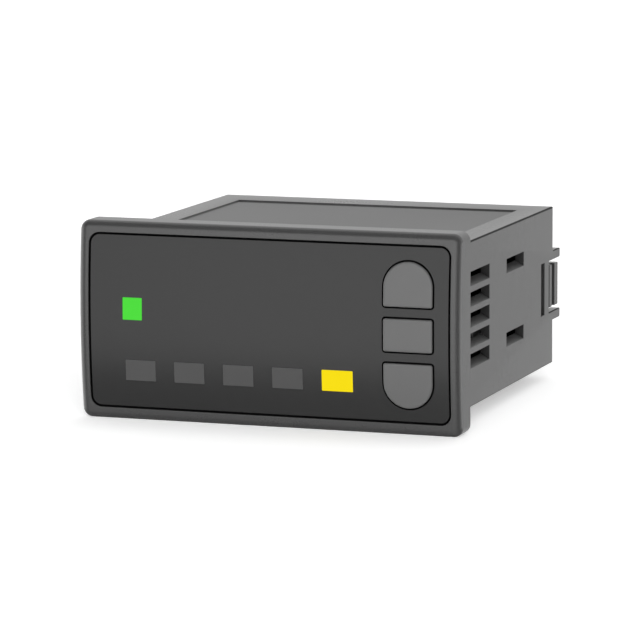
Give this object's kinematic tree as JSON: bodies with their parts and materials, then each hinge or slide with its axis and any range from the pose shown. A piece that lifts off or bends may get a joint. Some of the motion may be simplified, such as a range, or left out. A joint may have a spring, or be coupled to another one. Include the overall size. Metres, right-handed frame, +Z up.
{
  "type": "temperature controller",
  "caption": "Panel-mounting temperature controller with a crowned front, a column of push keys, indicator windows, and a deep vented case with screw terminals at the rear.",
  "frame": {"origin": "middle of the flange's rear face, in the plane of the panel's front", "axes": "+X to the right seen from the front, +Y back through the panel, +Z up"},
  "size_m": [0.096, 0.0973, 0.048],
  "materials": {
    "bezel_plastic": "fine satin moulded grain",
    "lens_plastic": "smooth satin, tinted dark",
    "green_window": "lit from behind",
    "yellow_window": "lit from behind",
    "dark_window": "unlit, smoky",
    "key_plastic": "fine satin moulded grain",
    "black_plastic": "moulded",
    "board_laminate": "glass laminate with a green coat",
    "led_body": "milky",
    "case_plastic": "fine satin moulded grain",
    "cover_plastic": "fine satin moulded grain",
    "core_steel": "stacked sheet",
    "copper_wire": "enamelled wire",
    "relay_plastic": "moulded",
    "capacitor_can": "sleeved can",
    "terminal_plastic": "moulded",
    "plated_steel": "nickel plated"
  },
  "bodies": {
    "housing": {"front_bezel": "bezel_plastic", "front_lens": "lens_plastic", "light_guide_green": "green_window", "light_guide_1": "dark_window", "light_guide_2": "dark_window", "light_guide_3": "dark_window", "light_guide_4": "dark_window", "light_guide_yellow": "yellow_window", "switch_up": "black_plastic", "switch_set": "black_plastic", "switch_down": "black_plastic", "display_board": "board_laminate", "digit_display": "black_plastic", "indicator_leds": "led_body", "controller_chip": "black_plastic", "case": "case_plastic", "rear_cover": "cover_plastic", "main_board": "board_laminate", "front_header": "black_plastic", "rear_header": "black_plastic", "transformer_core": "core_steel", "transformer_winding": "copper_wire", "relay_left": "relay_plastic", "relay_right": "relay_plastic", "capacitor": "capacitor_can", "terminal_board": "board_laminate", "terminal_block_upper": "terminal_plastic", "terminal_block_lower": "terminal_plastic", "clamp_plates": "plated_steel", "terminal_screws": "plated_steel"},
    "key_up_body": {"key_up": "key_plastic", "plunger_up": "black_plastic"},
    "key_set_body": {"key_set": "key_plastic", "plunger_set": "black_plastic"},
    "key_down_body": {"key_down": "key_plastic", "plunger_down": "black_plastic"}
  },
  "joints": [
    {"name": "key_up_press", "type": "slide", "parent": "housing", "child": "key_up_body", "axis": [0, 1, 0], "range_m": [0, 0.0004], "stiffness_N_per_m": 1500, "springref_m": -0.0005},
    {"name": "key_set_press", "type": "slide", "parent": "housing", "child": "key_set_body", "axis": [0, 1, 0], "range_m": [0, 0.0004], "stiffness_N_per_m": 1500, "springref_m": -0.0005},
    {"name": "key_down_press", "type": "slide", "parent": "housing", "child": "key_down_body", "axis": [0, 1, 0], "range_m": [0, 0.0004], "stiffness_N_per_m": 1500, "springref_m": -0.0005}
  ]
}
